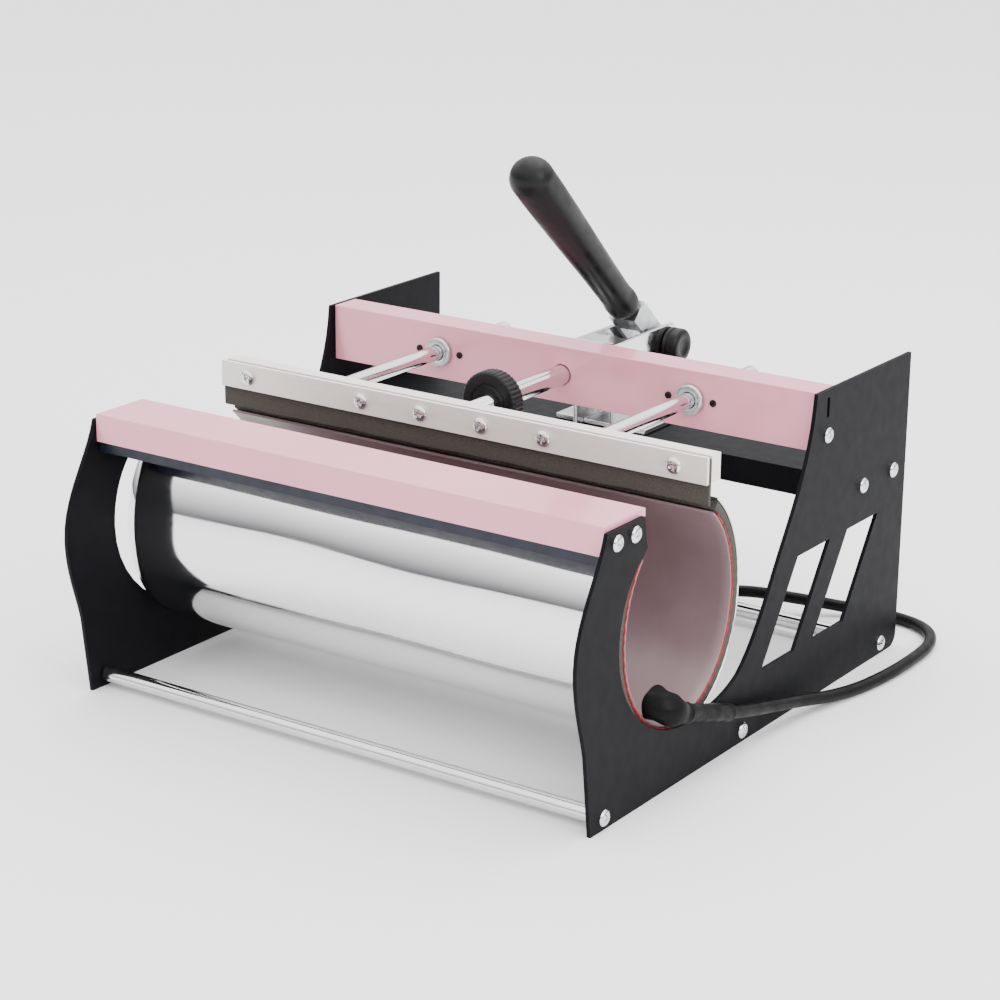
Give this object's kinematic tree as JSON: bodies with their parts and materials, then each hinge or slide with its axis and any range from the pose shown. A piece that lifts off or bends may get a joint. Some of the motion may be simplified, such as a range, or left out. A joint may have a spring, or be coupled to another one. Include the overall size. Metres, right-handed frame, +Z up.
{
  "type": "mug heat press",
  "caption": "Tumbler and mug heat press: open side-plate frame, wrap-around heater band, sliding clamp bar on guide rods and over-centre hand lever.",
  "frame": {"origin": "on the table, under the middle of the press without its cable", "axes": "+X to the operator's right along the heater, +Y to the rear, +Z up"},
  "size_m": [0.3273, 0.3425, 0.2637],
  "materials": {
    "plate_black": "fine-textured satin black powder coat",
    "pink_paint": "smooth satin pink paint",
    "chrome": "bright chrome plate",
    "brushed_steel": "brushed along its length",
    "polished_sheet": "mirror-polished stainless sheet",
    "foam": "matt closed-cell silicone foam",
    "silicone_red": "matt red silicone rubber",
    "liner": "smooth coated glass cloth, brown-mauve",
    "black_plastic": "semi-gloss black plastic",
    "cable": "smooth black rubber"
  },
  "bodies": {
    "frame": {"side_plate_left": "plate_black", "side_plate_right": "plate_black", "plate_screw_left_1": "chrome", "plate_screw_left_2": "chrome", "plate_screw_left_3": "chrome", "plate_screw_left_4": "chrome", "plate_screw_left_5": "chrome", "plate_screw_left_6": "chrome", "plate_screw_left_7": "chrome", "plate_screw_left_8": "chrome", "plate_screw_right_1": "chrome", "plate_screw_right_2": "chrome", "plate_screw_right_3": "chrome", "plate_screw_right_4": "chrome", "plate_screw_right_5": "chrome", "plate_screw_right_6": "chrome", "plate_screw_right_7": "chrome", "plate_screw_right_8": "chrome", "tie_rod_front": "chrome", "tie_rod_middle": "chrome", "tie_rod_rear": "chrome", "front_channel": "pink_paint", "front_clamp_strip": "black_plastic", "rear_channel": "pink_paint", "toggle_platform": "plate_black", "guide_bushing_left": "brushed_steel", "guide_bushing_right": "brushed_steel", "heater_sheet_front": "polished_sheet", "heater_mat_front": "foam", "toggle_bracket": "chrome", "pivot_pin_left": "chrome", "pivot_pin_right": "chrome", "pivot_hub": "black_plastic", "cable_boot": "cable", "cable_sleeve": "cable", "cable_run": "cable", "cable_coil": "cable", "plug_body": "chrome", "plug_ring": "chrome"},
    "heater_rear": {"heater_sheet_rear": "polished_sheet", "heater_mat_rear": "foam"},
    "carriage": {"moving_bar": "brushed_steel", "bar_clamp_strip": "brushed_steel", "mat_end_flap": "foam", "bar_screw_1": "chrome", "bar_screw_2": "chrome", "bar_screw_3": "chrome", "bar_screw_4": "chrome", "bar_screw_5": "chrome", "bar_screw_6": "chrome", "guide_rod_left": "chrome", "guide_rod_right": "chrome", "spindle": "chrome", "plunger": "chrome"},
    "knob": {"pressure_knob": "black_plastic"},
    "link": {"toggle_link": "chrome", "link_pin": "chrome"},
    "lever": {"lever_arm": "brushed_steel", "lever_grip": "black_plastic"}
  },
  "joints": [
    {"name": "lever_swing", "type": "hinge", "parent": "frame", "child": "lever", "pos_m": [0, 0.13868, 0.145], "axis": [-1, 0, 0], "range_deg": [0, 137]},
    {"name": "carriage_slide", "type": "slide", "parent": "frame", "child": "carriage", "axis": [0, -1, 0], "range_m": [0, 0.0416]},
    {"name": "link_swing", "type": "hinge", "parent": "carriage", "child": "link", "pos_m": [0, 0.12318, 0.145], "axis": [1, 0, 0], "range_deg": [0, 25.4]},
    {"name": "heater_flex", "type": "hinge", "parent": "frame", "child": "heater_rear", "pos_m": [0, -0.06632, 0.028], "axis": [1, 0, 0], "range_deg": [0, 22.8]},
    {"name": "knob_spin", "type": "hinge", "parent": "carriage", "child": "knob", "pos_m": [0, -0.00932, 0.145], "axis": [0, 1, 0], "continuous": true}
  ],
  "couplings": [
    {"joint": "carriage_slide", "follows": "lever_swing", "m_per_rad": 0.01735},
    {"joint": "link_swing", "follows": "lever_swing", "ratio": 0.1846},
    {"joint": "heater_flex", "follows": "lever_swing", "ratio": 0.1657}
  ]
}
